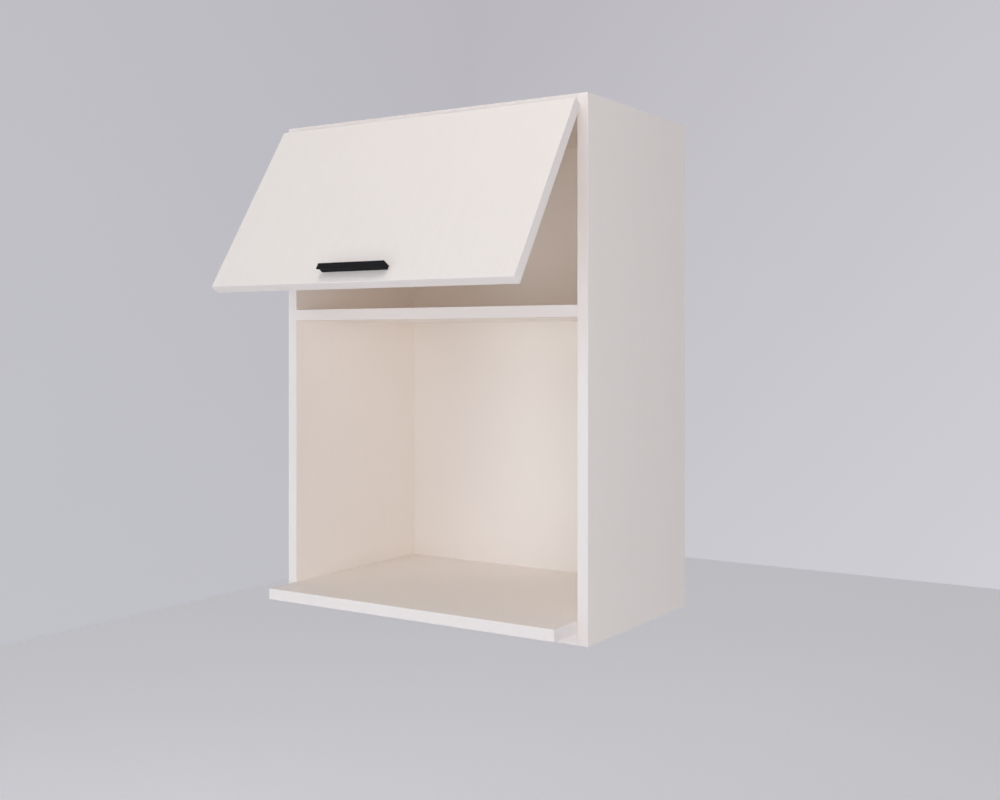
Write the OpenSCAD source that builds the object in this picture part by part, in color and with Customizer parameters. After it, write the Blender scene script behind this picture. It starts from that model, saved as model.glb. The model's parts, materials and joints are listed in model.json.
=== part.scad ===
// Lift-up wall cabinet with an open microwave niche.
// A 16 mm melamine-faced carcass carries a half-overlay flap on two seven-pivot cup hinges.
// A friction stay on the left side holds the flap at any angle.
// X runs across the front, -Y points out of the front and Z points up.
// The origin is the centre of the face that hangs against the wall.

/* [Carcass] */
// Overall width
width = 520; // [450:10:600]
// Overall height
height = 720; // [700:10:900]
// Depth from the wall face to the front edges, back board included
depth = 300; // [280:10:360]
// Thickness of every faced board
board = 16; // [16:2:18]
// Thickness of the back board
back_board = 3; // [3:1:4]
// Thickness of the edge band on the front edges
band = 0.8; // [0.4:0.2:1]

/* [Niche] */
// Clear height of the open niche, above the microwave shelf
niche_h = 396.5; // [360:0.5:420]
// How far the microwave shelf stands out in front of the sides
shelf_reach = 59; // [0:1:80]

/* [Flap] */
// Width of the flap
flap_w = 504; // [430:1:590]
// Height of the flap
flap_h = 280; // [250:1:300]
// Thickness of the band round the flap's edges
flap_band = 1; // [0.8:0.2:2]
// Gap between the closed flap and the carcass
flap_gap = 1.5; // [1.5:0.1:2]
// Drop of the closed flap's top edge below the top of the cabinet
flap_drop = 8; // [6:1:10]
// Angle at which the flap stands open
open_angle = 32; // [0:1:80]

/* [Handle] */
// Length of the handle
handle_len = 110; // [108:1:200]
// How far the handle stands off the flap
handle_depth = 12.8; // [11:0.1:16]
// Height of the stem that meets the flap
handle_stem = 6; // [5:0.5:8]
// Height of the front lip
handle_lip = 9.2; // [8:0.1:14]
// Thickness of the front lip
lip_t = 2; // [1.5:0.1:2.5]
// Distance of the handle's top face from the flap's lower edge
handle_up = 23.2; // [20:0.1:60]
// Distance between the two handle screws
handle_pitch = 96; // [64:32:96]

/* [Hinges] */
// Distance of each hinge from the middle of the flap
hinge_x = 162; // [120:1:180]
// Diameter of the hinge cup
cup_d = 35; // [35]
// Depth of the cup's bore in the flap
cup_depth = 11.5; // [11.5:0.1:12]
// Distance from the flap's top edge to the cup's bore
cup_edge = 4.5; // [4:0.1:5]

/* [Stay] */
// Distance from the flap's axis to both ends of the stay
stay_r = 123.8; // [123:0.1:125]
// Angle at the flap's axis between the ends of the stay, with the flap closed
stay_angle = 25; // [24:0.5:26]
// Distance of the stay rod from the inner face of the left side
stay_inset = 13; // [12:0.5:16]
// Diameter of the stay rod
rod_d = 6; // [6]

/* [Hidden] */

$fn = 48;
eps = 0.01;

white = "#e6e1df";
cream = "#d8ccc0";
black = "#26262a";
nickel = "#b9bbbe";
zinc = "#a9abaf";
plastic = "#e9e7e3";
beech = "#cfae80";

// ---- levels and faces of the carcass
in_w = width - 2 * board;             // clear width between the sides
half_in = in_w / 2;
front = -depth;                       // plane of the front edges
rear = -back_board;                   // plane where the boards meet the back board
shelf_top = 2 * board;                // top face of the microwave shelf
mid_z = shelf_top + niche_h;          // underside of the middle shelf
top_z = height - board;               // underside of the top panel
slack = 0.2;                          // room at each end of the loose-laid shelf
rebate_w = 8;                         // rebate in each side that takes the back board
end_band = 0.4;                       // thin tape on the sides' top and bottom ends
joint_levels = [board / 2, mid_z + board / 2, height - board / 2];
fit_front = front + 37;               // row of fittings behind the front edge
fit_rear = rear - 47;                 // row of fittings ahead of the back board
dowel_step = 32;                      // each dowel sits one system step from its fitting

// ---- cam fittings
cam_d = 15;
cam_depth = 12.5;
cam_in = 34;                          // cam centre from the end of the board
bolt_bore = 8;
bolt_side_d = 5;
bolt_side_deep = 11;
dowel_d = 8;
dowel_side_deep = 12;
dowel_end_deep = 20;

// ---- flap, closed
flap_in = front - flap_gap;           // inner face
flap_out = flap_in - board;           // outer face
flap_top = height - flap_drop;
flap_bot = flap_top - flap_h;

// ---- the flap's axis: just outside its upper front corner
axis_ahead = 2.3;
axis_above = 1.5;
axis_p = [flap_out - axis_ahead, flap_top + axis_above];

// A vector or point [y, z] turned by the angle a in the direction in which the flap opens
function turned(v, a) = [v[0] * cos(a) + v[1] * sin(a), -v[0] * sin(a) + v[1] * cos(a)];
function opened_point(p, a) = axis_p + turned(p - axis_p, a);

// ---- hinge linkage: two cranks on the arm, two links of fixed direction, pins in the cup
pivot_rear = [front + 13, top_z - 14];            // rear crank on the arm
arm_dir = (pivot_rear - axis_p) / norm(pivot_rear - axis_p);
pivot_front_reach = 25;
pivot_front = axis_p + pivot_front_reach * arm_dir;  // front crank on the arm
cup_pin_low = [front - 4.5, top_z - 25];          // pin of the short link, flap closed
cup_dir = (cup_pin_low - axis_p) / norm(cup_pin_low - axis_p);
reach_high = 25.2;                                // from the axis to the upper cup pin
cup_pin_high = axis_p + reach_high * cup_dir;
crank_dir = turned(cup_dir, open_angle);          // both cranks, as the flap stands
crank_reach = norm(cup_pin_low - axis_p);
knee_front = pivot_front + reach_high * crank_dir;   // front crank and long link
knee_low = pivot_front + crank_reach * crank_dir;    // front crank and short link
knee_rear = pivot_rear + reach_high * crank_dir;     // rear crank and long link
link_r = 2.3;                         // half width of a link
pin_r = 1.25;
pin_play = 0.05;
crank_half = 2.9;                     // half thickness of a crank
side_in = 3.1;                        // long and short links are pairs of plates
side_out = 5.1;
wall_in = 5.4;                        // side walls of the arm
wall_out = 6.9;
cup_slot = 7.4;                       // half width of the slot in the cup
cup_pin_end = 9.6;
cup_z = flap_top - cup_edge - cup_d / 2;
cup_floor = 1;
flange_t = 1.2;
cup_screw_x = 22.5;
plate_hole_x = 16;
plate_y = front + 37;
hinge_screw_r = 1.9;

// ---- friction stay
stay_x = -half_in + stay_inset;       // plane of the rod
rod_off = 14;                         // pin's distance from the flap's inner face
pin_drop = sqrt(pow(stay_r, 2) - pow(flap_in + rod_off - axis_p[0], 2));
flap_pin = [flap_in + rod_off, axis_p[1] - pin_drop];
block_p = opened_point(flap_pin, -stay_angle);
flap_pin_now = opened_point(flap_pin, open_angle);
rod_vec = block_p - flap_pin_now;
rod_tilt = atan2(rod_vec[1], rod_vec[0]);
block_half = 12;                      // half length of the block's boss along the rod
rod_play = 0.1;
collar_len = 7;
stay_limit = 80;                      // angle at which the collar meets the block
rod_far = norm(opened_point(flap_pin, stay_limit) - block_p);
rod_len = rod_far + block_half + collar_len + 1.3;
eye_r = 7;
eye_t = 5;
flap_pin_r = 2.5;
block_r = 11;
spigot_r = 7;
ear_t = 2;

// ================================================================ helpers

// All solids are drawn from the cabinet's bottom edge and placed about the wall face's centre
module placed() {
    translate([0, 0, -height / 2]) children();
}

// A child drawn with the flap closed, turned to where the flap stands
module on_flap() {
    translate([0, axis_p[0], axis_p[1]])
        rotate([-open_angle, 0, 0])
            translate([0, -axis_p[0], -axis_p[1]])
                children();
}

// A box from its low corner to its high corner
module span(a, b) {
    translate(a) cube(b - a);
}

// A (y, z) outline extruded along X
module plate_x(x0, x1) {
    translate([x0, 0, 0])
        rotate([90, 0, 90])
            linear_extrude(x1 - x0)
                children();
}

// A round along X, Y or Z
module rod_x(p, r, x0, x1) {
    translate([x0, p[0], p[1]]) rotate([0, 90, 0]) cylinder(r = r, h = x1 - x0);
}

module rod_y(x, z, r, y0, y1) {
    translate([x, y0, z]) rotate([-90, 0, 0]) cylinder(r = r, h = y1 - y0);
}

module rod_z(x, y, r, z0, z1) {
    translate([x, y, z0]) cylinder(r = r, h = z1 - z0);
}

// The outline of a straight link: two round eyes and a slightly narrower bar between them
module link_outline(a, b, r, waist = 0.86) {
    d = b - a;
    translate(a) circle(r);
    translate(b) circle(r);
    translate(a) rotate(atan2(d[1], d[0])) translate([0, -waist * r]) square([norm(d), 2 * waist * r]);
}

module round_rect(w, h, r) {
    translate([-w / 2 + r, -h / 2]) square([w - 2 * r, h]);
    translate([-w / 2, -h / 2 + r]) square([w, h - 2 * r]);
    for (x = [-1, 1], y = [-1, 1]) translate([x * (w / 2 - r), y * (h / 2 - r)]) circle(r);
}

// A pan-head screw along +Z, head below z = 0 and shank above
module pan_screw(head_r, head_h, shank_r, len) {
    difference() {
        translate([0, 0, -head_h]) cylinder(r = head_r, h = head_h);
        translate([0, 0, -head_h]) cross_recess(head_r * 0.6);
    }
    translate([0, 0, -eps]) cylinder(r = shank_r, h = len);
}

module cross_recess(r) {
    for (a = [0, 90])
        rotate(a) translate([-r, -r / 4, -eps]) cube([2 * r, r / 2, r * 0.8]);
}

// ================================================================ carcass boards

// Every place where a horizontal board meets a side: side sign and height of its middle
module at_board_ends() {
    for (s = [-1, 1], z = joint_levels)
        translate([s * half_in, 0, z]) mirrored(s) children();
}

// A child drawn for the right side, mirrored where s is -1
module mirrored(s) {
    if (s < 0) mirror([1, 0, 0]) children();
    else children();
}

// Bores in the sides for bolts and dowels, from the joint plane outwards (+X)
module side_bores() {
    for (y = [fit_front, fit_rear]) {
        rod_x([y, 0], bolt_side_d / 2, -eps, bolt_side_deep);
    }
    for (y = [fit_front + dowel_step, fit_rear - dowel_step]) {
        rod_x([y, 0], dowel_d / 2, -eps, dowel_side_deep);
    }
}

// Bores in a board's end, from the joint plane inwards (-X), and the cam bores from its top face
module end_bores() {
    for (y = [fit_front, fit_rear]) {
        rod_x([y, 0], bolt_bore / 2, -cam_in, eps);
        rod_z(-cam_in, y, cam_d / 2, board / 2 - cam_depth, board / 2 + eps);
    }
    for (y = [fit_front + dowel_step, fit_rear - dowel_step]) {
        rod_x([y, 0], dowel_d / 2, -dowel_end_deep, eps);
    }
}

// One side, a full depth board with a rebate behind for the back board
module side_panel(s) {
    difference() {
        mirrored(s) span([half_in, front + band, end_band], [width / 2, 0, height - end_band]);
        mirrored(s) back_rebate();
        at_back_nails() nail_bore();
        for (z = joint_levels)
            translate([s * half_in, 0, z]) mirrored(s) side_bores();
        mirrored(s) hanger_peg_bores();
        if (s < 0) stay_base_holes();
    }
}

module back_rebate() {
    span([half_in - eps, rear, -eps], [half_in + rebate_w, eps, height + eps]);
}

module left_side_panel() {
    color(white) side_panel(-1);
}

module right_side_panel() {
    color(white) side_panel(1);
}

module cross_board(z) {
    difference() {
        span([-half_in, front + band, z], [half_in, rear, z + board]);
        for (s = [-1, 1])
            translate([s * half_in, 0, z + board / 2]) mirrored(s) end_bores();
        at_back_nails() nail_bore();
    }
}

module top_panel() {
    color(white) difference() {
        cross_board(top_z);
        for (h = [-1, 1], x = [-1, 1])
            rod_z(h * hinge_x + x * plate_hole_x, plate_y, hinge_screw_r, top_z - eps, top_z + 11);
    }
}

module bottom_panel() {
    color(white) difference() {
        cross_board(0);
        at_shelf_screws() rod_z(0, 0, 2.2, -eps, board + eps);
        at_shelf_screws() translate([0, 0, -eps]) cylinder(r1 = 4.6, r2 = 2.2, h = 2.4);
    }
}

module middle_shelf() {
    color(white) cross_board(mid_z);
}

// The board that carries the microwave, laid on the bottom panel and reaching out in front
shelf_front = front - shelf_reach;
shelf_half = half_in - slack;

module microwave_shelf() {
    color(cream) difference() {
        span([-shelf_half + band, shelf_front + band, board], [shelf_half - band, rear, shelf_top]);
        at_shelf_screws() rod_z(0, 0, 1.8, board - eps, shelf_top - 3);
    }
}

// A board's edge in section: its thickness along Y, with a small radius on both outer arrises
module banded_section(t, h, r) {
    translate([0, r]) square([t, h - 2 * r]);
    translate([r, 0]) square([t - r, h]);
    for (y = [r, h - r]) translate([r, y]) circle(r);
}

band_r = 0.6;

module carcass_edge_bands() {
    color(white) {
        for (s = [-1, 1])
            translate([s * (width - board) / 2 - board / 2, front, 0])
                linear_extrude(height)
                    rotate(-90) mirror([1, 0]) edge_strip(band, board);
        for (z = [0, mid_z, top_z])
            plate_x(-half_in, half_in)
                translate([front, z]) edge_strip(band, board);
        for (s = [-1, 1], z = [0, height - end_band]) mirrored(s) difference() {
            span([half_in, front + band, z], [width / 2, 0, z + end_band]);
            back_rebate();
        }
    }
}

// One strip in section, t thick and h wide, its outer face on the low side of the first axis
module edge_strip(t, h) {
    intersection() {
        banded_section(t + band_r, h, band_r);
        square([t, h]);
    }
}

// One band round the front edge of the microwave shelf and the two ends that show
module microwave_shelf_band() {
    color(white) difference() {
        intersection() {
            span([-shelf_half, shelf_front, board], [shelf_half, rear, shelf_top]);
            plate_x(-width, width)
                translate([shelf_front, board]) banded_section(depth + shelf_reach, board, band_r);
        }
        span([-shelf_half + band, shelf_front + band, board - eps],
             [shelf_half - band, rear + eps, shelf_top + eps]);
    }
}

// Back board in the rebates of the sides and over the other boards' rear edges,
// with a window for each hanger hook
back_half = half_in + rebate_w - 0.2;
hook_x = half_in - 9;
hook_z = top_z - 22;
hook_w = 12;
hook_t = 2.5;

module back_panel() {
    color(cream) difference() {
        span([-back_half, rear, 0], [back_half, 0, height]);
        for (s = [-1, 1])
            span([s * hook_x - 8, rear - eps, hook_z - 9], [s * hook_x + 8, eps, hook_z + 6]);
        at_back_nails() nail_bore();
        at_back_nails() rod_y(0, 0, nail_head_r + 0.05, -nail_head, eps);
    }
}

// ================================================================ hidden fittings

cam_r = cam_d / 2 - 0.05;
cam_gap = 0.05;

// A cam: a drum with a side opening and a throat for the bolt's head, and a cross slot on top
module cam_housings() {
    color(zinc) at_board_ends() for (y = [fit_front, fit_rear]) translate([-cam_in, y, 0]) {
        difference() {
            rod_z(0, 0, cam_r, board / 2 - cam_depth + cam_gap, board / 2 - 0.3);
            rod_x([0, 0], 3.9, 1.5, cam_d);
            rod_x([0, 0], 2.9, -eps - 3, 2);
            translate([0, 0, board / 2 - 2.3]) cross_slot();
        }
    }
}

module cross_slot() {
    for (a = [45, 135]) rotate(a) translate([-4.5, -0.9, 0]) cube([9, 1.8, 3]);
}

// A cam bolt: thread in the side, collar at the joint, neck, and the head inside the cam
module cam_bolts() {
    color(zinc) at_board_ends() for (y = [fit_front, fit_rear]) {
        rod_x([y, 0], bolt_side_d / 2 - 0.05, 0, bolt_side_deep - 0.5);
        rod_x([y, 0], bolt_bore / 2 - 0.1, -7, -0.05);
        rod_x([y, 0], 2.4, -cam_in + 4, -6.5);
        rod_x([y, 0], 2.7, -cam_in - 1, -cam_in + 4.5);
    }
}

module dowels() {
    color(beech) at_board_ends()
        for (y = [fit_front + dowel_step, fit_rear - dowel_step])
            translate([-dowel_end_deep + 0.5, y, 0]) rotate([0, 90, 0]) fluted_dowel();
}

dowel_len = dowel_end_deep + dowel_side_deep - 1;

// A beech dowel with chamfered ends and glue grooves
module fluted_dowel() {
    r = dowel_d / 2 - 0.05;
    difference() {
        union() {
            translate([0, 0, 1]) cylinder(r = r, h = dowel_len - 2);
            cylinder(r1 = r - 1, r2 = r, h = 1);
            translate([0, 0, dowel_len - 1]) cylinder(r1 = r, r2 = r - 1, h = 1);
        }
        for (a = [0:45:315])
            rotate(a) translate([r - 0.3, -0.3, -eps]) cube([1, 0.6, dowel_len + 1]);
    }
}

module at_shelf_screws() {
    for (x = [-1, 1], y = [fit_front + 8, fit_rear - 8])
        translate([x * (half_in - 60), y, 0]) children();
}

// Screws up through the bottom panel into the microwave shelf
module shelf_screws() {
    color(zinc) at_shelf_screws() {
        difference() {
            translate([0, 0, 0.1]) cylinder(r1 = 4.2, r2 = 1.9, h = 2.3);
            translate([0, 0, 0.1]) cross_recess(2.2);
        }
        translate([0, 0, 2.3]) cylinder(r = 1.75, h = 26);
    }
}

nail_head = 0.7;
nail_head_r = 1.75;
nail_r = 0.75;
nail_in = 15;                         // depth of each nail in the board that it holds

// Nails round the back board, into the middle of each rebate and of each horizontal board
module at_back_nails() {
    for (s = [-1, 1], k = [0.12, 0.37, 0.63, 0.88])
        translate([s * (half_in + rebate_w / 2), 0, k * height]) children();
    for (z = joint_levels, k = [0.2, 0.5, 0.8])
        translate([(k - 0.5) * in_w, 0, z]) children();
}

module back_panel_nails() {
    color(zinc) at_back_nails() {
        rod_y(0, 0, nail_head_r, -nail_head, 0);
        rod_y(0, 0, nail_r, rear - nail_in, -nail_head);
    }
}

module nail_bore() {
    rod_y(0, 0, nail_r + 0.05, rear - nail_in - 0.5, eps);
}

// ================================================================ wall hangers

hanger_w = 18;
hanger_d = 36;
hanger_h = 60;
hanger_top = top_z - 2;
peg_r = 5;
peg_deep = 9;
peg_zs = [hanger_top - 10, hanger_top - 42];
screw_zs = [hanger_top - 12, hanger_top - 30];

module hanger_peg_bores() {
    for (z = peg_zs) rod_x([rear - hanger_d / 2, z], peg_r + 0.05, half_in - eps, half_in + peg_deep);
}

// A moulded housing on two pegs, open at the back where the hook runs
module hanger_body() {
    y0 = rear - hanger_d;
    x0 = half_in - hanger_w;
    difference() {
        union() {
            plate_x(x0, half_in - 0.1)
                translate([rear - hanger_d / 2 - 0.25, hanger_top - hanger_h / 2])
                    round_rect(hanger_d - 0.5, hanger_h, 3);
            for (z = peg_zs) rod_x([rear - hanger_d / 2, z], peg_r, half_in - 1, half_in + peg_deep - 1);
        }
        span([x0 + 2, y0 + 3, hook_z - 10], [half_in - 3, rear + 1, hook_z + 8]);
        span([x0 - 1, y0 + 8, hanger_top - hanger_h + 5], [x0 + 4, rear - 6, hook_z - 14]);
        for (z = screw_zs) rod_y(hook_x, z, 3.1, y0 - 1, y0 + 3.5);
    }
}

module hanger_body_left() {
    color(plastic) mirrored(-1) hanger_body();
}

module hanger_body_right() {
    color(plastic) hanger_body();
}

// The steel hook: a flat tongue through the back board, with a lip that drops behind the rail
module hanger_hook() {
    y0 = rear - hanger_d + 5;
    tip = 9;
    plate_x(hook_x - hook_w / 2, hook_x + hook_w / 2) {
        translate([y0, hook_z]) square([tip - y0 - 2, hook_t]);
        translate([tip - 2, hook_z + hook_t - 2]) circle(2);
        translate([tip - hook_t, hook_z - 7]) square([hook_t, 7 + hook_t - 2]);
        translate([y0, hook_z - 8]) square([hook_t, 8 + eps]);
    }
}

module hanger_hook_left() {
    color(nickel) mirrored(-1) hanger_hook();
}

module hanger_hook_right() {
    color(nickel) hanger_hook();
}

// Height and reach screws in the front of each hanger
module hanger_screws() {
    y0 = rear - hanger_d;
    color(nickel) for (s = [-1, 1], z = screw_zs)
        translate([s * hook_x, y0 - 0.6, z]) rotate([-90, 0, 0]) difference() {
            cylinder(r = 3, h = 3.6);
            cross_recess(2);
        }
}

// ================================================================ flap

cup_r = cup_d / 2;
pilot_r = 1.3;                        // holes for the wood screws in the flap
pilot_deep = 11;

module flap_board() {
    color(white) on_flap() difference() {
        span([-flap_w / 2 + flap_band, flap_out, flap_bot + flap_band],
             [flap_w / 2 - flap_band, flap_in, flap_top - flap_band]);
        for (s = [-1, 1]) {
            rod_y(s * hinge_x, cup_z, cup_r + 0.05, flap_in - cup_depth - 0.3, flap_in + 1);
            for (x = [-1, 1])
                rod_y(s * hinge_x + x * cup_screw_x, cup_z - 2, pilot_r, flap_in - pilot_deep, flap_in + 1);
            rod_y(s * handle_pitch / 2, handle_z, 2.2, flap_out - 1, flap_in + 1);
        }
        for (z = bracket_screw_zs)
            rod_y(bracket_screw_x, z, pilot_r, flap_in - pilot_deep, flap_in + 1);
    }
}

flap_arris = 0.9;

// One band round all four edges, its arrises rounded
module flap_edge_band() {
    color(white) on_flap() difference() {
        intersection() {
            plate_x(-flap_w / 2, flap_w / 2)
                translate([flap_out + board / 2, flap_top - flap_h / 2])
                    round_rect(board, flap_h, flap_arris);
            translate([0, 0, flap_bot]) linear_extrude(flap_h)
                translate([0, flap_out + board / 2]) round_rect(flap_w, board, flap_arris);
        }
        span([-flap_w / 2 + flap_band, flap_out - 1, flap_bot + flap_band],
             [flap_w / 2 - flap_band, flap_in + 1, flap_top - flap_band]);
    }
}

handle_top = flap_bot + handle_up;
handle_z = handle_top - handle_stem / 2;
lip_y = flap_out - handle_depth;

// An extruded pull: a stem along the flap and a thinner lip that hangs below it
module handle() {
    color(black) on_flap() difference() {
        plate_x(-handle_len / 2, handle_len / 2) {
            translate([lip_y + lip_t - eps, handle_top - handle_stem])
                square([handle_depth - lip_t + eps, handle_stem]);
            translate([lip_y, handle_top - handle_lip + lip_t / 2])
                square([lip_t, handle_lip - lip_t / 2 - 0.5]);
            translate([lip_y + lip_t / 2, handle_top - handle_lip + lip_t / 2]) circle(lip_t / 2);
            translate([lip_y + 0.5, handle_top - 0.5]) circle(0.5);
            translate([lip_y + 0.5, handle_top - 1]) square([lip_t, 1]);
        }
        for (s = [-1, 1]) rod_y(s * handle_pitch / 2, handle_z, 1.95, flap_out - 9, flap_out + 1);
    }
}

// Two machine screws from the inner face of the flap into the handle
module handle_screws() {
    color(nickel) on_flap() for (s = [-1, 1]) translate([s * handle_pitch / 2, flap_in, handle_z])
        rotate([90, 0, 0]) pan_screw(4, 2.2, 1.9, board + 7);
}

bumper_x = flap_w / 2 - 4.5;

module flap_bumpers() {
    color(plastic) on_flap() for (s = [-1, 1]) translate([s * bumper_x, flap_in, flap_bot + 8])
        rotate([-90, 0, 0]) {
            cylinder(r = 3.5, h = 0.6);
            translate([0, 0, 0.6]) cylinder(r1 = 3.5, r2 = 2.4, h = 0.6);
        }
}

// ================================================================ hinges

// A hinge part drawn about x = 0, at the left or the right hinge
module at_hinge(s) {
    translate([s * hinge_x, 0, 0]) children();
}

plate_t = 2;
ridge_y0 = front + 27;
ridge_y1 = front + 60;

// A cross-shaped plate under the top panel, with a ridge that the arm straddles
module hinge_plate() {
    difference() {
        union() {
            translate([0, plate_y, top_z - plate_t]) linear_extrude(plate_t)
                round_rect(46, 15, 5);
            span([-7, ridge_y0 + 1, top_z - plate_t], [7, ridge_y1 + 3, top_z]);
            plate_x(-wall_in + 0.2, wall_in - 0.2) polygon([
                [ridge_y0 + 3, top_z - plate_t + eps], [ridge_y0 + 3, top_z - 10],
                [ridge_y0 + 6, top_z - 13], [ridge_y1 - 2, top_z - 13],
                [ridge_y1, top_z - 11], [ridge_y1, top_z - plate_t + eps]
            ]);
        }
        for (x = [-1, 1]) {
            rod_z(x * plate_hole_x, plate_y, hinge_screw_r + 0.2, top_z - plate_t - 1, top_z + 1);
            translate([x * plate_hole_x, plate_y, top_z - plate_t - eps])
                cylinder(r1 = 4.1, r2 = hinge_screw_r + 0.2, h = 1.9);
        }
        for (y = arm_screw_ys) rod_z(0, y, 2.05, top_z - 14, top_z - 4);
    }
}

module hinge_plate_left() {
    color(nickel) at_hinge(-1) hinge_plate();
}

module hinge_plate_right() {
    color(nickel) at_hinge(1) hinge_plate();
}

arm_end = front + 64;
arm_bevel = 2;
arm_screw_ys = [front + 36, front + 53];
arm_web = top_z - 14.6;               // lower face of the arm's web

// The arm: a pressed channel over the plate's ridge, its nose open for the two cranks
module hinge_arm() {
    difference() {
        union() {
            for (x = [-wall_out, wall_in]) plate_x(x, x + wall_out - wall_in) arm_wall_outline();
            span([-wall_out, front + 27.5, arm_web], [wall_out, arm_end - arm_bevel, arm_web + 1.5]);
            span([-wall_out, pivot_front[0] + 1, top_z - 2.2], [wall_out, front + 22, top_z - 1]);
            for (p = [pivot_front, pivot_rear]) rod_x(p, pin_r, -wall_out, wall_out);
        }
        rod_z(0, arm_screw_ys[0], 3.2, arm_web - 1, arm_web + 2);
        translate([0, arm_screw_ys[1], arm_web - 1]) linear_extrude(3)
            link_outline([0, -2], [0, 2], 2.4);
    }
}

module arm_wall_outline() {
    z0 = arm_web;
    z1 = top_z - plate_t - 0.2;
    difference() {
        union() {
            link_outline(pivot_front, pivot_rear, 3.1);
            polygon([
                [pivot_front[0] + 1, top_z - 1], [pivot_front[0] - 1.8, pivot_front[1] + 2.4],
                pivot_rear, [pivot_rear[0] - 1, pivot_rear[1] - 3],
                [front + 26, z0], [arm_end - arm_bevel, z0], [arm_end, z0 + arm_bevel],
                [arm_end, z1], [front + 23, z1],
                [front + 22, top_z - 1]
            ]);
        }
        translate([front + 45, (z0 + z1) / 2 + 1]) circle(2);
    }
}

module hinge_arm_left() {
    color(nickel) at_hinge(-1) hinge_arm();
}

module hinge_arm_right() {
    color(nickel) at_hinge(1) hinge_arm();
}

// Wood screws that hold the plates under the top panel
module hinge_plate_screws() {
    color(zinc) for (s = [-1, 1], x = [-1, 1])
        translate([s * hinge_x + x * plate_hole_x, plate_y, top_z - plate_t + 0.1]) {
            difference() {
                cylinder(r1 = 3.9, r2 = hinge_screw_r - 0.05, h = 1.9);
                cross_recess(2.2);
            }
            translate([0, 0, 1.8]) cylinder(r = hinge_screw_r - 0.05, h = 10.5);
        }
}

// The overlay screw and the fixing screw of each arm
module hinge_arm_screws() {
    color(zinc) for (s = [-1, 1]) translate([s * hinge_x, 0, 0]) {
        translate([0, arm_screw_ys[0], arm_web - 0.4]) {
            difference() {
                cylinder(r = 3, h = 2);
                cross_recess(1.9);
            }
            translate([0, 0, 2 - eps]) cylinder(r = 1.95, h = 6);
        }
        translate([0, arm_screw_ys[1], arm_web]) pan_screw(4, 2, 1.95, 8);
    }
}

// The cup: a cast bowl with an oval flange, slotted for the nose and the links
module hinge_cup() {
    difference() {
        union() {
            cup_bowl();
            translate([0, flap_in + flange_t, cup_z - 2]) rotate([90, 0, 0]) linear_extrude(flange_t)
                round_rect(58, 22, 10);
        }
        cup_slot_cut();
        for (x = [-1, 1]) {
            translate([x * 11.3, 0, cup_z]) cup_pocket();
            rod_y(x * cup_screw_x, cup_z - 2, 1.7, flap_in - 1, flap_in + flange_t + 1);
        }
    }
    for (p = [cup_pin_high, cup_pin_low]) rod_x(p, pin_r, -cup_pin_end, cup_pin_end);
}

// The bowl with its rim, both with a small bevel
module cup_bowl() {
    bevel = 1.2;
    rim_bevel = 0.3;
    rim_r = cup_r + 1.2;
    translate([0, flap_in, cup_z]) rotate([-90, 0, 0]) rotate_extrude() polygon([
        [0, -cup_depth], [cup_r - bevel, -cup_depth], [cup_r, -cup_depth + bevel], [cup_r, 0],
        [rim_r, 0], [rim_r, flange_t - rim_bevel], [rim_r - rim_bevel, flange_t], [0, flange_t]
    ]);
}

// The central slot, up to the rim at both ends and through the flange
module cup_slot_cut() {
    intersection() {
        span([-cup_slot, flap_in - cup_depth + cup_floor, cup_z - 30],
             [cup_slot, flap_in + 5, cup_z + 30]);
        rod_y(0, cup_z, cup_r - 0.7, flap_in - cup_depth, flap_in);
    }
    span([-cup_slot, flap_in, cup_z - 19.5], [cup_slot, flap_in + 5, cup_z + 20]);
}

// Lightening pocket on each side of the slot
module cup_pocket() {
    translate([0, flap_in + flange_t + 1, 0]) rotate([90, 0, 0])
        linear_extrude(cup_depth - 1.5 + flange_t) round_rect(2.4, 14, 1.1);
}

module hinge_cup_left() {
    color(nickel) on_flap() at_hinge(-1) hinge_cup();
}

module hinge_cup_right() {
    color(nickel) on_flap() at_hinge(1) hinge_cup();
}

module hinge_cup_screws() {
    color(zinc) on_flap() for (s = [-1, 1], x = [-1, 1])
        translate([s * hinge_x + x * cup_screw_x, flap_in + flange_t, cup_z - 2])
            rotate([90, 0, 0]) pan_screw(3.4, 1.4, 1.25, 11);
}

// A crank between the arm's walls, bored for its pivots
module crank(a, b, holes) {
    difference() {
        plate_x(-crank_half, crank_half) link_outline(a, b, link_r);
        for (p = holes) rod_x(p, pin_r + pin_play, -wall_out, wall_out);
    }
}

// A pair of side plates, on their own rivets where they carry the cranks
module side_plates(a, b, holes, rivets) {
    difference() {
        for (x = [-side_out, side_in]) plate_x(x, x + side_out - side_in) link_outline(a, b, link_r);
        for (p = holes) rod_x(p, pin_r + pin_play, -wall_out, wall_out);
    }
    for (p = rivets) rod_x(p, pin_r, -side_out, side_out);
}

module front_link() {
    crank(pivot_front, knee_low, [pivot_front, knee_front, knee_low]);
}

module rear_link() {
    crank(pivot_rear, knee_rear, [pivot_rear, knee_rear]);
}

// Where the two cup pins are as the flap stands
cup_high_now = opened_point(cup_pin_high, open_angle);
cup_low_now = opened_point(cup_pin_low, open_angle);

module long_link() {
    side_plates(cup_high_now, knee_rear, [cup_high_now], [knee_front, knee_rear]);
}

module short_link() {
    side_plates(cup_low_now, knee_low, [cup_low_now], [knee_low]);
}

module front_link_left() {
    color(zinc) at_hinge(-1) front_link();
}

module front_link_right() {
    color(zinc) at_hinge(1) front_link();
}

module rear_link_left() {
    color(zinc) at_hinge(-1) rear_link();
}

module rear_link_right() {
    color(zinc) at_hinge(1) rear_link();
}

module long_link_left() {
    color(nickel) at_hinge(-1) long_link();
}

module long_link_right() {
    color(nickel) at_hinge(1) long_link();
}

module short_link_left() {
    color(nickel) at_hinge(-1) short_link();
}

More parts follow.
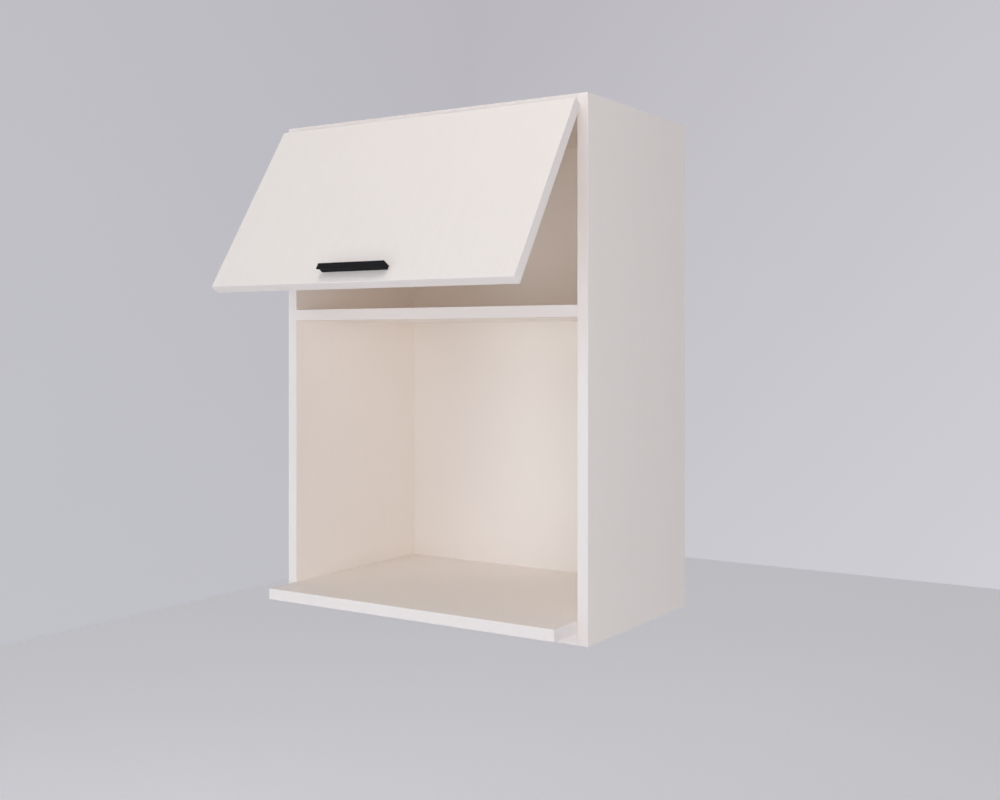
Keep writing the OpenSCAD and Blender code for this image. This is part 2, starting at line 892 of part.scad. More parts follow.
module short_link_right() {
    color(nickel) at_hinge(1) short_link();
}

// ================================================================ friction stay

side_face = -half_in;
base_t = 3;
ring_h = 4;
base_hole_off = 19;
base_screw_r = 1.9;

// Screw holes of the stay's base, above and below its pivot
module at_base_screws() {
    for (s = [-1, 1]) translate([0, block_p[0], block_p[1] + s * base_hole_off]) children();
}

module stay_base_holes() {
    at_base_screws() rod_x([0, 0], base_screw_r, side_face - 11, side_face + 1);
}

// A screwed plate with a ring that traps the block's spigot
module stay_base() {
    color(nickel) difference() {
        union() {
            plate_x(side_face, side_face + base_t)
                translate(block_p) round_rect(24, 2 * base_hole_off + 14, 7);
            rod_x(block_p, spigot_r + 3.5, side_face + base_t - eps, side_face + base_t + ring_h);
        }
        rod_x(block_p, spigot_r + 0.05, side_face + 1.5, side_face + base_t + ring_h + 1);
        at_base_screws() {
            rod_x([0, 0], base_screw_r + 0.2, side_face - 1, side_face + base_t + 1);
            translate([side_face + base_t - 2, 0, 0]) rotate([0, 90, 0])
                cylinder(r1 = base_screw_r + 0.2, r2 = 4.2, h = 2 + eps);
        }
    }
}

module stay_base_screws() {
    color(zinc) at_base_screws() {
        difference() {
            translate([side_face + base_t - 2.05, 0, 0]) rotate([0, 90, 0])
                cylinder(r1 = base_screw_r - 0.05, r2 = 3.95, h = 1.95);
            translate([side_face + base_t - 0.1, 0, 0]) rotate([0, -90, 0]) cross_recess(2.2);
        }
        rod_x([0, 0], base_screw_r - 0.05, side_face - 10, side_face + base_t - 2);
    }
}

block_x0 = side_face + base_t + ring_h + 0.3;
block_x1 = stay_x + rod_d / 2 + 5;

// The swivelling brake block: a drum with a boss along the rod on both sides
module stay_block() {
    color(zinc) difference() {
        union() {
            rod_x(block_p, block_r, block_x0, block_x1);
            rod_x(block_p, spigot_r, side_face + 1.8, block_x0 + eps);
            along_rod(block_p, -block_half) cylinder(r = 5.5, h = 2 * block_half);
        }
        along_rod(block_p, -2 * block_half) cylinder(r = rod_d / 2 + rod_play, h = 4 * block_half);
        rod_x(block_p, 3.1, stay_x + rod_d / 2 + 0.5, block_x1 + 1);
    }
}

// A child along +Z laid along the rod's line, starting at the distance a past the point p
module along_rod(p, a) {
    translate([stay_x, p[0], p[1]]) rotate([rod_tilt, 0, 0]) rotate([-90, 0, 0])
        translate([0, 0, a]) children();
}

// The slotted screw that sets the brake's grip
module stay_brake_screw() {
    color(black) difference() {
        union() {
            rod_x(block_p, 3, stay_x + rod_d / 2 + 0.6, block_x1 + 0.5);
            rod_x(block_p, 5, block_x1 + 0.2, block_x1 + 2.6);
        }
        translate([block_x1 + 1.6, block_p[0], block_p[1]]) rotate([rod_tilt, 0, 0])
            translate([0, -6, -0.7]) cube([3, 12, 1.4]);
    }
}

// A round rod with a flat eye at the flap's end
module stay_rod() {
    color(nickel) difference() {
        union() {
            along_rod(flap_pin_now, 0) cylinder(r = rod_d / 2, h = rod_len);
            rod_x(flap_pin_now, eye_r, stay_x - eye_t / 2, stay_x + eye_t / 2);
        }
        rod_x(flap_pin_now, flap_pin_r + pin_play, stay_x - 10, stay_x + 10);
    }
}

// The collar that meets the block when the flap is fully open
module stay_stop_collar() {
    color(zinc) along_rod(flap_pin_now, rod_len - collar_len - 1) difference() {
        cylinder(r = 6, h = collar_len);
        translate([0, 0, -1]) cylinder(r = rod_d / 2 + 0.02, h = collar_len + 2);
        translate([0, 0, collar_len / 2]) rotate([0, 90, 0]) cylinder(r = 1.6, h = 8);
    }
}

ear_x = stay_x + eye_t / 2 + 0.6;
ear_r = 6;
bracket_w = 26;
bracket_half = 20;
bracket_screw_x = ear_x + ear_t + 13;
bracket_screw_zs = [flap_pin[1] - 13, flap_pin[1] + 13];

// An angle on the flap's inner face, its ear carrying the rod's pin
module stay_flap_bracket() {
    low_z = flap_pin[1] - bracket_half;
    high_z = flap_pin[1] + bracket_half;
    color(nickel) on_flap() {
        difference() {
            union() {
                span([ear_x, flap_in, low_z], [ear_x + bracket_w, flap_in + ear_t, high_z]);
                plate_x(ear_x, ear_x + ear_t) {
                    translate(flap_pin) circle(ear_r);
                    polygon([
                        [flap_in, low_z], [flap_in + ear_t, low_z],
                        flap_pin + ear_r * [cos(-40), sin(-40)], flap_pin + ear_r * [cos(40), sin(40)],
                        [flap_in + ear_t, high_z], [flap_in, high_z]
                    ]);
                }
            }
            for (z = bracket_screw_zs)
                rod_y(bracket_screw_x, z, 2.1, flap_in - 1, flap_in + ear_t + 1);
        }
        rod_x(flap_pin, flap_pin_r, stay_x - eye_t / 2 - 2.2, ear_x + eps);
        rod_x(flap_pin, 4.2, stay_x - eye_t / 2 - 1.8, stay_x - eye_t / 2 - 0.5);
    }
}

module stay_bracket_screws() {
    color(zinc) on_flap() for (z = bracket_screw_zs)
        translate([bracket_screw_x, flap_in + ear_t, z])
            rotate([90, 0, 0]) pan_screw(3.6, 2, 1.25, 12);
}

// ================================================================ the assembly

placed() left_side_panel();
placed() right_side_panel();
placed() top_panel();
placed() bottom_panel();
placed() middle_shelf();
placed() microwave_shelf();
placed() back_panel();
placed() carcass_edge_bands();
placed() microwave_shelf_band();
placed() cam_housings();
placed() cam_bolts();
placed() dowels();
placed() shelf_screws();
placed() back_panel_nails();
placed() hanger_body_left();
placed() hanger_body_right();
placed() hanger_hook_left();
placed() hanger_hook_right();
placed() hanger_screws();
placed() flap_board();
placed() flap_edge_band();
placed() handle();
placed() handle_screws();
placed() flap_bumpers();
placed() hinge_plate_left();
placed() hinge_plate_right();
placed() hinge_arm_left();
placed() hinge_arm_right();
placed() hinge_plate_screws();
placed() hinge_arm_screws();
placed() hinge_cup_left();
placed() hinge_cup_right();
placed() hinge_cup_screws();
placed() front_link_left();
placed() front_link_right();
placed() rear_link_left();
placed() rear_link_right();
placed() long_link_left();
placed() long_link_right();
placed() short_link_left();
placed() short_link_right();
placed() stay_base();
placed() stay_base_screws();
placed() stay_block();
placed() stay_brake_screw();
placed() stay_rod();
placed() stay_stop_collar();
placed() stay_flap_bracket();
placed() stay_bracket_screws();
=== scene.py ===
import json
import math
import bmesh
import bpy
from mathutils import Matrix, Vector


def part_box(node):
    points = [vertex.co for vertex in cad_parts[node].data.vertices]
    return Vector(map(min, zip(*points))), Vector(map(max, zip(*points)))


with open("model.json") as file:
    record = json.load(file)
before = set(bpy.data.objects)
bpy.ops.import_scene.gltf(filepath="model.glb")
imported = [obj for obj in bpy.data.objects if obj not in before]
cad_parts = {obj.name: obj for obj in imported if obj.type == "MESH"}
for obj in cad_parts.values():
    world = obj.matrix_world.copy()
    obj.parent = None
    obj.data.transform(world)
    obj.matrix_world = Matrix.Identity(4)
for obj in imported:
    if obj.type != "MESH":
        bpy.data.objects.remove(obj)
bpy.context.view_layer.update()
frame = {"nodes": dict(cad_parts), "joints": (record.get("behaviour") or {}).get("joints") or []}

mm = 0.001
nodes = frame["nodes"]
joints = {joint["name"]: joint for joint in frame["joints"]}
scene = bpy.context.scene
print("frame loaded:", len(nodes), "nodes")


def linear(hexColour):
    # sRGB hex to the linear numbers that the shaders work in
    channels = [int(hexColour[start:start + 2], 16) / 255 for start in (1, 3, 5)]
    return tuple(c / 12.92 if c <= 0.04045 else ((c + 0.055) / 1.055) ** 2.4 for c in channels) + (1,)


def addNode(tree, kind, settings, links=None):
    # A key of settings is a property of the node, or the name or number of one of its sockets.
    # The two colours of a Mix node are its sockets 6 and 7.
    node = tree.nodes.new("ShaderNode" + kind)
    for key, value in settings.items():
        if isinstance(key, str) and hasattr(node, key):
            setattr(node, key, value)
        else:
            node.inputs[key].default_value = value
    for key, source in (links or {}).items():
        tree.links.new(source, node.inputs[key])
    return node


def newMaterial(name):
    material = bpy.data.materials.new(name)
    material.use_nodes = True
    material.node_tree.nodes.clear()
    return material, material.node_tree


def finishMaterial(tree, surface, links):
    # the principled shader with its fixed numbers in surface and its patterns in links
    shader = addNode(tree, "BsdfPrincipled", surface, links)
    addNode(tree, "OutputMaterial", {}, {"Surface": shader.outputs[0]})


def colourBetween(tree, factor, dark, light):
    ramp = addNode(tree, "ValToRGB", {}, {0: factor})
    ramp.color_ramp.elements[0].color = linear(dark)
    ramp.color_ramp.elements[1].color = linear(light)
    return ramp


def wear(nodeName, material):
    # a CAD node keeps its mesh and gets the finished material
    for slot in nodes[nodeName].material_slots:
        slot.material = material


# Particle board between two printed papers pressed with melamine resin. The faces are a warm white
# with a faint embossed wood pore. Where a bore or a cut edge goes through the paper, chips show.
melamine = {
    "faceDark": "#f6f0e9",
    "faceLight": "#fcf7f2",
    "chipDark": "#8f7350",
    "chipMiddle": "#b59a70",
    "chipLight": "#d3bd95",
    "paper": 0.2 * mm,  # thickness of the faces
    "poreAcross": 1.6 * mm,  # real pores are 0.3 mm wide, drawn coarser so that they show
    "poreAlong": 45 * mm,
    "poreDepth": 0.05 * mm,
    "poreRelief": 0.25,
    "faceRough": 0.48,
    "chip": 2.2 * mm,
    "chipRough": 0.95,
}


def melamineBoard(name, thickAxis, middle, thickness, grainAxis, turn=0, pivot=(0, 0, 0)):
    # turn and pivot lay a tilted board's coordinates back to where it is closed
    material, tree = newMaterial(name)
    place = addNode(tree, "TexCoord", {})
    untilt = Matrix.Rotation(turn, 3, "X")
    offset = Vector(pivot) - untilt @ Vector(pivot)
    flat = addNode(tree, "Mapping", {"Rotation": (turn, 0, 0), "Location": offset},
                   {"Vector": place.outputs["Object"]})
    axes = addNode(tree, "SeparateXYZ", {}, {0: flat.outputs[0]})
    # a point belongs to a face if it lies further from the board's middle than the core reaches
    depth = addNode(tree, "Math", {"operation": "SUBTRACT", 1: middle}, {0: axes.outputs[thickAxis]})
    reach = addNode(tree, "Math", {"operation": "ABSOLUTE"}, {0: depth.outputs[0]})
    limit = thickness / 2 - melamine["paper"]
    isFace = addNode(tree, "Math", {"operation": "GREATER_THAN", 1: limit}, {0: reach.outputs[0]})
    poreScale = [1 / melamine["poreAcross"]] * 3
    poreScale[grainAxis] = 1 / melamine["poreAlong"]
    stretched = addNode(tree, "Mapping", {"Scale": poreScale}, {"Vector": flat.outputs[0]})
    pores = addNode(tree, "TexNoise", {"Scale": 1, "Detail": 4, "Roughness": 0.6},
                    {"Vector": stretched.outputs[0]})
    face = colourBetween(tree, pores.outputs[0], melamine["faceDark"], melamine["faceLight"])
    chips = addNode(tree, "TexVoronoi", {"Scale": 1 / melamine["chip"]}, {"Vector": flat.outputs[0]})
    tint = addNode(tree, "SeparateColor", {}, {0: chips.outputs["Color"]})
    core = colourBetween(tree, tint.outputs[0], melamine["chipDark"], melamine["chipLight"])
    middleChip = core.color_ramp.elements.new(0.5)
    middleChip.color = linear(melamine["chipMiddle"])
    colour = addNode(tree, "Mix", {"data_type": "RGBA"},
                     {0: isFace.outputs[0], 6: core.outputs[0], 7: face.outputs[0]})
    sheen = addNode(tree, "MapRange", {"To Min": melamine["chipRough"], "To Max": melamine["faceRough"]},
                    {"Value": isFace.outputs[0]})
    relief = addNode(tree, "Bump", {"Strength": melamine["poreRelief"], "Distance": melamine["poreDepth"]},
                     {"Height": pores.outputs[0]})
    finishMaterial(tree, {"IOR": 1.5}, {
        "Base Color": colour.outputs[2],
        "Roughness": sheen.outputs[0],
        "Normal": relief.outputs[0],
    })
    return material


def boardFrom(nodeName, name, thickAxis, grainAxis):
    low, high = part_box(nodeName)
    middle = (low[thickAxis] + high[thickAxis]) / 2
    wear(nodeName, melamineBoard(name, thickAxis, middle, high[thickAxis] - low[thickAxis], grainAxis))


boardFrom("left_side_panel", "melamineBoardLeft", 0, 2)
boardFrom("right_side_panel", "melamineBoardRight", 0, 2)
boardFrom("top_panel", "melamineBoardTop", 2, 0)
boardFrom("middle_shelf", "melamineBoardShelf", 2, 0)
boardFrom("bottom_panel", "melamineBoardBottom", 2, 0)
boardFrom("microwave_shelf", "melamineBoardMicrowave", 2, 0)

# The flap stands open in the frame, so its board is laid back about the lift's axis.
flap = {"thickness": 16 * mm, "gap": 1.5 * mm, "band": 0.8 * mm}
openAngle = math.radians(-joints["flap_lift"]["range_deg"][0])
liftAxis = Vector(joints["flap_lift"]["pos_m"])
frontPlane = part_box("left_side_panel")[0].y - flap["band"]
flapMiddle = frontPlane - flap["gap"] - flap["thickness"] / 2
flapBoard = melamineBoard("melamineBoardFlap", 1, flapMiddle, flap["thickness"], 2, openAngle, liftAxis)
wear("flap_board", flapBoard)
print("boards faced")


def edgeBand():
    # ABS edge tape, extruded and printed: smoother than the faces, with a fine moulded stipple
    tape = {
        "dark": "#f7f1ec",
        "light": "#faf4f0",
        "stipple": 1.2 * mm,  # the real one is 0.3 mm, drawn coarser so that it shows
        "depth": 0.02 * mm,
        "relief": 0.3,
        "rough": 0.38,
    }
    material, tree = newMaterial("absEdgeTape")
    place = addNode(tree, "TexCoord", {})
    stipple = addNode(tree, "TexNoise", {"Scale": 1 / tape["stipple"], "Detail": 3},
                      {"Vector": place.outputs["Object"]})
    colour = colourBetween(tree, stipple.outputs[0], tape["dark"], tape["light"])
    relief = addNode(tree, "Bump", {"Strength": tape["relief"], "Distance": tape["depth"]},
                     {"Height": stipple.outputs[0]})
    finishMaterial(tree, {"Roughness": tape["rough"], "IOR": 1.53},
                   {"Base Color": colour.outputs[0], "Normal": relief.outputs[0]})
    return material


def hardboard():
    # thin hard fibre board, lacquered white towards the room and bare brown towards the wall
    sheet = {
        "lacquerDark": "#f8f3ec",
        "lacquerLight": "#fbf6f1",
        "lacquer": 0.3 * mm,  # depth from the inner face to which the lacquer's colour goes
        "lacquerRough": 0.4,
        "fibreDark": "#8f6b48",
        "fibreLight": "#b98f64",
        "fibre": 0.9 * mm,  # real fibres are 0.1 mm wide, drawn coarser so that they show
        "fibreLong": 7 * mm,
        "fibreDepth": 0.05 * mm,
        "fibreRelief": 0.2,
        "fibreRough": 0.85,
    }
    material, tree = newMaterial("lacqueredHardboard")
    place = addNode(tree, "TexCoord", {})
    axes = addNode(tree, "SeparateXYZ", {}, {0: place.outputs["Object"]})
    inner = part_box("back_panel")[0].y + sheet["lacquer"]
    isLacquer = addNode(tree, "Math", {"operation": "LESS_THAN", 1: inner}, {0: axes.outputs[1]})
    fibreScale = (1 / sheet["fibreLong"], 1 / sheet["fibre"], 1 / sheet["fibre"])
    stretched = addNode(tree, "Mapping", {"Scale": fibreScale}, {"Vector": place.outputs["Object"]})
    fibres = addNode(tree, "TexNoise", {"Scale": 1, "Detail": 6, "Roughness": 0.7},
                     {"Vector": stretched.outputs[0]})
    brown = colourBetween(tree, fibres.outputs[0], sheet["fibreDark"], sheet["fibreLight"])
    white = colourBetween(tree, fibres.outputs[0], sheet["lacquerDark"], sheet["lacquerLight"])
    colour = addNode(tree, "Mix", {"data_type": "RGBA"},
                     {0: isLacquer.outputs[0], 6: brown.outputs[0], 7: white.outputs[0]})
    sheen = addNode(tree, "MapRange", {"To Min": sheet["fibreRough"], "To Max": sheet["lacquerRough"]},
                    {"Value": isLacquer.outputs[0]})
    relief = addNode(tree, "Bump", {"Strength": sheet["fibreRelief"], "Distance": sheet["fibreDepth"]},
                     {"Height": fibres.outputs[0]})
    finishMaterial(tree, {"IOR": 1.5}, {
        "Base Color": colour.outputs[2],
        "Roughness": sheen.outputs[0],
        "Normal": relief.outputs[0],
    })
    return material


def speckled(name, dark, light, grain, depth, surface, detail=3, strength=0.5):
    # One even finish with a fine relief: powder coat, cast metal, moulded plastic. The grain of
    # the last two is about a quarter of what is drawn, which is coarser so that it shows.
    material, tree = newMaterial(name)
    place = addNode(tree, "TexCoord", {})
    speckle = addNode(tree, "TexNoise", {"Scale": 1 / grain, "Detail": detail},
                      {"Vector": place.outputs["Object"]})
    colour = colourBetween(tree, speckle.outputs[0], dark, light)
    relief = addNode(tree, "Bump", {"Strength": strength, "Distance": depth},
                     {"Height": speckle.outputs[0]})
    finishMaterial(tree, surface, {"Base Color": colour.outputs[0], "Normal": relief.outputs[0]})
    return material


def drawnMetal(name, dark, light, lineAcross, lineAlong, lowRough, highRough,
               strength=0.15, depth=0.01 * mm):
    # Rolled or drawn steel: the plating keeps the sheet's fine lines, which spread the highlight.
    # Real lines are a few hundredths of a millimetre apart, and are drawn coarser so that they show.
    material, tree = newMaterial(name)
    place = addNode(tree, "TexCoord", {})
    scale = (1 / lineAcross, 1 / lineAlong, 1 / lineAcross)
    stretched = addNode(tree, "Mapping", {"Scale": scale}, {"Vector": place.outputs["Object"]})
    lines = addNode(tree, "TexNoise", {"Scale": 1, "Detail": 5}, {"Vector": stretched.outputs[0]})
    colour = colourBetween(tree, lines.outputs[0], dark, light)
    gloss = addNode(tree, "MapRange", {"To Min": lowRough, "To Max": highRough},
                    {"Value": lines.outputs[0]})
    relief = addNode(tree, "Bump", {"Strength": strength, "Distance": depth}, {"Height": lines.outputs[0]})
    finishMaterial(tree, {"Metallic": 1}, {
        "Base Color": colour.outputs[0],
        "Roughness": gloss.outputs[0],
        "Normal": relief.outputs[0],
    })
    return material


def beechWood():
    # beech, turned and fluted: pale brown with short dark rays along the dowel
    wood = {"dark": "#b98d5c", "light": "#dcb98a", "across": 0.7 * mm, "along": 9 * mm, "rough": 0.7}
    material, tree = newMaterial("beech")
    place = addNode(tree, "TexCoord", {})
    scale = (1 / wood["along"], 1 / wood["across"], 1 / wood["across"])
    stretched = addNode(tree, "Mapping", {"Scale": scale}, {"Vector": place.outputs["Object"]})
    rays = addNode(tree, "TexNoise", {"Scale": 1, "Detail": 5}, {"Vector": stretched.outputs[0]})
    colour = colourBetween(tree, rays.outputs[0], wood["dark"], wood["light"])
    finishMaterial(tree, {"Roughness": wood["rough"]}, {"Base Color": colour.outputs[0]})
    return material


absTape = edgeBand()

# matte polyester powder coat on extruded aluminium: a soft orange peel and almost no gloss
coat = {
    "dark": "#0d0d0f",
    "light": "#131315",
    "grain": 0.8 * mm,
    "depth": 0.03 * mm,
    "surface": {"Roughness": 0.6, "Specular IOR Level": 0.15},
}
powderCoat = speckled("blackPowderCoat", **coat)

# nickel plate on pressed steel: a slightly warm, satin mirror
nickel = {
    "dark": "#bebdba",
    "light": "#c9c8c5",
    "lineAcross": 0.2 * mm,
    "lineAlong": 4 * mm,
    "lowRough": 0.24,
    "highRough": 0.34,
}
nickelPlate = drawnMetal("nickelPlatedSteel", **nickel)

# zinc plate, blue passivated: cooler and duller than nickel
zinc = {
    "dark": "#a5a9ad",
    "light": "#b6babe",
    "lineAcross": 0.25 * mm,
    "lineAlong": 1.5 * mm,
    "lowRough": 0.32,
    "highRough": 0.44,
}
zincPlate = drawnMetal("zincPlatedSteel", **zinc)

# zinc pressure casting, tumbled: an even grey with a fine pitted skin
casting = {
    "dark": "#9a9c9f",
    "light": "#b2b4b6",
    "grain": 0.5 * mm,
    "depth": 0.03 * mm,
    "surface": {"Metallic": 1, "Roughness": 0.42},
    "detail": 5,
}
castZinc = speckled("castZinc", **casting)

# steel blackened in oil: a thin oxide skin that leaves a dull gleam
blacking = {
    "dark": "#17181a",
    "light": "#2a2b2e",
    "grain": 0.6 * mm,
    "depth": 0.01 * mm,
    "surface": {"Metallic": 0.6, "Roughness": 0.4},
}
blackSteel = speckled("blackenedSteel", **blacking)

# moulded white ABS with the fine spark finish of its mould
moulding = {
    "dark": "#e2e0da",
    "light": "#ebe9e4",
    "grain": 0.6 * mm,
    "depth": 0.03 * mm,
    "surface": {"Roughness": 0.42, "IOR": 1.53},
}
mouldedAbs = speckled("mouldedWhiteAbs", **moulding)

backBoard = hardboard()
beech = beechWood()

finishes = {
    absTape: ["carcass_edge_bands", "microwave_shelf_band", "flap_edge_band"],
    backBoard: ["back_panel"],
    powderCoat: ["handle"],
    nickelPlate: [
        "hanger_hook_left", "hanger_hook_right", "hanger_screws", "handle_screws",
        "hinge_plate_left", "hinge_plate_right", "hinge_arm_left", "hinge_arm_right",
        "hinge_cup_left", "hinge_cup_right", "long_link_left", "long_link_right",
        "short_link_left", "short_link_right", "stay_base", "stay_rod", "stay_flap_bracket",
    ],
    zincPlate: [
        "cam_bolts", "shelf_screws", "back_panel_nails", "hinge_plate_screws", "hinge_arm_screws",
        "hinge_cup_screws", "front_link_left", "front_link_right", "rear_link_left",
        "rear_link_right", "stay_base_screws", "stay_bracket_screws",
    ],
    castZinc: ["cam_housings", "stay_block", "stay_stop_collar"],
    blackSteel: ["stay_brake_screw"],
    beech: ["dowels"],
    mouldedAbs: ["hanger_body_left", "hanger_body_right", "flap_bumpers"],
}
for material, names in finishes.items():
    for nodeName in names:
        wear(nodeName, material)
print("materials made:", len(bpy.data.materials))


room = {
    "floorDrop": 1.133,  # from the camera down to the floor
    "corner": (-3.05, 4.32),  # where the two walls meet
    "reach": 14,
    "fadeAlong": 3,  # the painted shade on the walls lightens over this length from the corner
    "fadeTop": 1.9,  # and from this height down to the floor
}
roomPaint = {
    "floor": "#e6e5ea",
    "floorSurface": {"Roughness": 0.9, "Specular IOR Level": 0.1},
    "floorLift": 0.33,  # glow in what is seen, as a share of the floor's own tone
    "floorMottle": {"size": 0.6, "low": 0.985, "high": 1.015},
    # painted shade: the walls' tone in the corner and at the top, darker than their far tones
    "shadedCornerTone": "#bab8be",
    "backTone": "#d0cfd5",
    "sideTone": "#c2c2c9",
    "wallMottle": {"size": 0.9, "low": 0.99, "high": 1.01},
}


def addMottle(tree, size, low, high):
    # paint put on with a roller: the tone drifts a little from place to place
    place = addNode(tree, "TexCoord", {})
    noise = addNode(tree, "TexNoise", {"Scale": 1 / size, "Detail": 2}, {"Vector": place.outputs["Object"]})
    return addNode(tree, "MapRange", {"To Min": low, "To Max": high}, {"Value": noise.outputs[0]})


def addSeenRays(tree):
    # one for what the camera sees, directly, in a reflection or through glass, and nought for light
    ray = addNode(tree, "LightPath", {})
    direct = addNode(tree, "Math", {"operation": "ADD"},
                     {0: ray.outputs["Is Camera Ray"], 1: ray.outputs["Is Glossy Ray"]})
    return addNode(tree, "Math", {"operation": "ADD", "use_clamp": True},
                   {0: direct.outputs[0], 1: ray.outputs["Is Transmission Ray"]})


def floorPaint():
    # matt floor paint, which takes the cabinet's shadow
    material, tree = newMaterial("floorPaint")
    shade = addMottle(tree, **roomPaint["floorMottle"])
    tone = {"data_type": "RGBA", "blend_type": "MULTIPLY", 0: 1, 6: linear(roomPaint["floor"])}
    colour = addNode(tree, "Mix", tone, {7: shade.outputs[0]})
    seen = addSeenRays(tree)
    lift = addNode(tree, "Math", {"operation": "MULTIPLY", 1: roomPaint["floorLift"]}, {0: seen.outputs[0]})
    finishMaterial(tree, roomPaint["floorSurface"], {
        "Base Color": colour.outputs[2],
        "Emission Color": colour.outputs[2],
        "Emission Strength": lift.outputs[0],
    })
    return material


def wallPaint(name, alongAxis, start, end, farTone):
    # The walls are a backdrop: seen directly and in reflections, and the light passes through them.
    # The walls carry painted shade, darkest in the corner and at the top. Half of the change of tone goes
    # along the wall, and half goes down it.
    material, tree = newMaterial(name)
    place = addNode(tree, "TexCoord", {})
    axes = addNode(tree, "SeparateXYZ", {}, {0: place.outputs["Object"]})
    along = addNode(tree, "MapRange", {"From Min": start, "From Max": end, "To Max": 0.5},
                    {"Value": axes.outputs[alongAxis]})
    down = addNode(tree, "MapRange", {"From Min": room["fadeTop"], "From Max": floorHeight, "To Max": 0.5},
                   {"Value": axes.outputs[2]})
    both = addNode(tree, "Math", {"operation": "ADD"}, {0: along.outputs[0], 1: down.outputs[0]})
    # painted shade: the wall's tone darkens into the corner and towards the top
    tone = colourBetween(tree, both.outputs[0], roomPaint["shadedCornerTone"], farTone)
    shade = addMottle(tree, **roomPaint["wallMottle"])
    glow = addNode(tree, "Emission", {}, {0: tone.outputs[0], 1: shade.outputs[0]})
    clear = addNode(tree, "BsdfTransparent", {})
    seen = addSeenRays(tree)
    wall = addNode(tree, "MixShader", {}, {0: seen.outputs[0], 1: clear.outputs[0], 2: glow.outputs[0]})
    addNode(tree, "OutputMaterial", {}, {0: wall.outputs[0]})
    return material


def stagePlane(name, material, matrix):
    mesh = bpy.data.meshes.new(name)
    sheet = bmesh.new()
    bmesh.ops.create_grid(sheet, x_segments=1, y_segments=1, size=room["reach"], matrix=matrix)
    sheet.to_mesh(mesh)
    sheet.free()
    plane = bpy.data.objects.new(name, mesh)
    mesh.materials.append(material)
    scene.collection.objects.link(plane)


camera = {
    "place": (1.0406, -1.7140, 0.0350),
    "yaw": 32.95,  # degrees to the left of straight ahead
    "lens": 44.74,
    "sensor": 36,
    "shiftY": -0.0575,
}

floorHeight = camera["place"][2] - room["floorDrop"]
cornerX, cornerY = room["corner"]
wallMiddle = floorHeight + room["reach"]
backPaint = wallPaint("backWallPaint", 0, cornerX, cornerX + room["fadeAlong"], roomPaint["backTone"])
sidePaint = wallPaint("sideWallPaint", 1, cornerY, cornerY - room["fadeAlong"], roomPaint["sideTone"])
backPlace = Matrix.Translation((cornerX + room["reach"], cornerY, wallMiddle))
sidePlace = Matrix.Translation((cornerX, cornerY - room["reach"], wallMiddle))
stagePlane("floor", floorPaint(), Matrix.Translation((0, 0, floorHeight)))
stagePlane("backWall", backPaint, backPlace @ Matrix.Rotation(math.radians(90), 4, "X"))
stagePlane("sideWall", sidePaint, sidePlace @ Matrix.Rotation(math.radians(90), 4, "Y"))
print("room painted")

# square lamps, with their sides in metres and their power in watts
lampTarget = (0, -0.2, 0)
lamps = {
    "key": {"place": (1.2, -2.0, -0.1), "size": 0.8, "power": 9.2, "tint": "#fbfbff"},
    "farRight": {"place": (1.8, -3.0, 0.5), "size": 1.4, "power": 8.5, "tint": "#f7f9ff"},
    "farLeft": {"place": (-0.7, -3.2, 1.5), "size": 1.4, "power": 15.7, "tint": "#edf2ff"},
    "fill": {"place": (-1.2, -1.8, -0.3), "size": 1.0, "power": 6.5, "tint": "#faffff"},
    "top": {"place": (0.2, -1.0, 1.7), "size": 1.0, "power": 10.2, "tint": "#fff7f0"},
    "right": {"place": (2.4, -1.0, 0), "size": 1.0, "power": 4.8, "tint": "#fff8fd"},
}

for name, lamp in lamps.items():
    data = bpy.data.lights.new(name, "AREA")
    data.shape = "SQUARE"
    data.size = lamp["size"]
    data.energy = lamp["power"]
    data.color = linear(lamp["tint"])[:3]
    light = bpy.data.objects.new(name, data)
    light.location = lamp["place"]
    aim = Vector(lampTarget) - Vector(lamp["place"])
    light.rotation_euler = aim.to_track_quat("-Z", "Y").to_euler()
    scene.collection.objects.link(light)

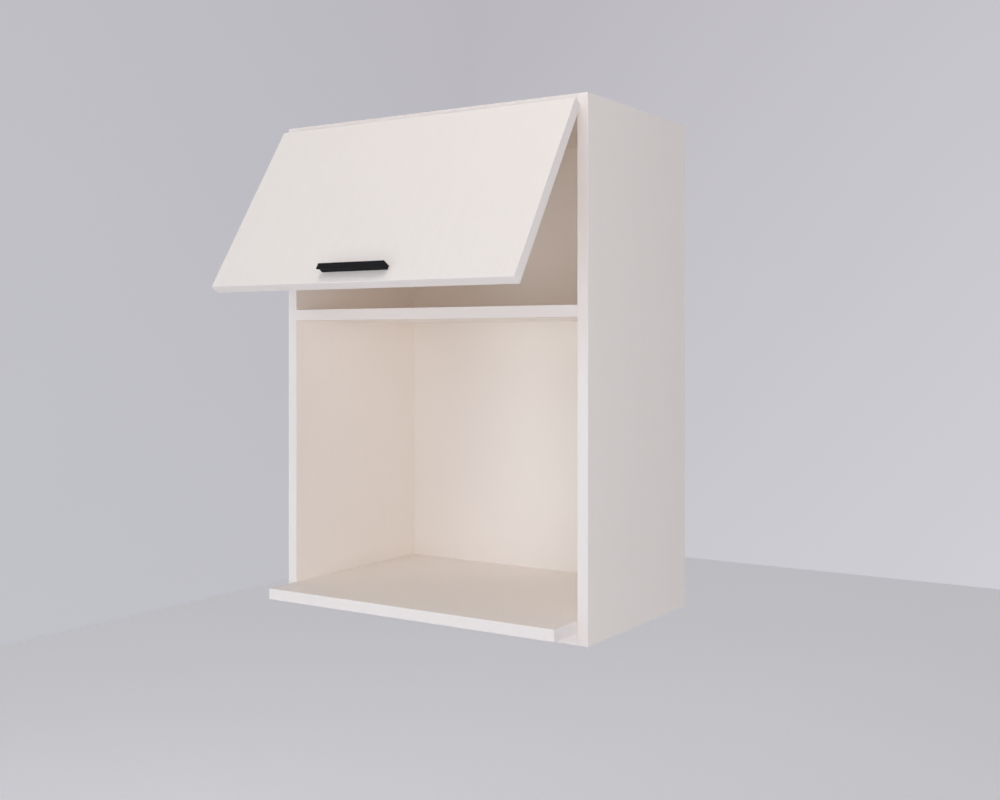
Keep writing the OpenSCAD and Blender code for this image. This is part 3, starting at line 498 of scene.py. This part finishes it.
# The studio's light is brightest behind the cabinet, in front the lamps take over. What is seen of
# it past the walls, directly and in reflections, is one pale tone.
studio = {
    "frontTint": "#77777c",
    "backTint": "#f4f4f4",
    "backwards": {"From Min": -0.3, "From Max": 0.3},  # where the front tint turns to the back tint
    "upwards": {"From Min": 0.4, "From Max": 0.9},  # where the sides turn to what is overhead
    "sides": 1,  # strength from all round and from below
    "overhead": 0.1,  # strength from above
    "seenTone": "#c8c7cd",
    "bounces": 32,  # light that enters the niche is passed on many times between its white walls
}
world = bpy.data.worlds.new("studio")
world.use_nodes = True
skyTree = world.node_tree
skyTree.nodes.clear()
skyPlace = addNode(skyTree, "TexCoord", {})
skyAxes = addNode(skyTree, "SeparateXYZ", {}, {0: skyPlace.outputs["Generated"]})
skySide = addNode(skyTree, "MapRange", {"interpolation_type": "SMOOTHSTEP", **studio["backwards"]},
                  {"Value": skyAxes.outputs[1]})
skyTone = colourBetween(skyTree, skySide.outputs[0], studio["frontTint"], studio["backTint"])
skyRise = addNode(skyTree, "MapRange", {"interpolation_type": "SMOOTHSTEP", **studio["upwards"],
                                        "To Min": studio["sides"], "To Max": studio["overhead"]},
                  {"Value": skyAxes.outputs[2]})
sky = addNode(skyTree, "Background", {}, {0: skyTone.outputs[0], 1: skyRise.outputs[0]})
seenSky = addNode(skyTree, "Background", {0: linear(studio["seenTone"]), 1: 1})
seenRays = addSeenRays(skyTree)
bothSkies = addNode(skyTree, "MixShader", {},
                    {0: seenRays.outputs[0], 1: sky.outputs[0], 2: seenSky.outputs[0]})
addNode(skyTree, "OutputWorld", {}, {"Surface": bothSkies.outputs[0]})
scene.world = world
scene.cycles.diffuse_bounces = studio["bounces"]
scene.cycles.max_bounces = studio["bounces"]
print("lamps placed:", len(lamps))

cameraData = bpy.data.cameras.new("camera")
cameraData.lens = camera["lens"]
cameraData.sensor_width = camera["sensor"]
cameraData.shift_y = camera["shiftY"]
cameraObject = bpy.data.objects.new("camera", cameraData)
cameraObject.location = camera["place"]
cameraObject.rotation_euler = (math.radians(90), 0, math.radians(camera["yaw"]))
scene.collection.objects.link(cameraObject)
scene.camera = cameraObject

scene.view_settings.view_transform = "Standard"

print("scene built")
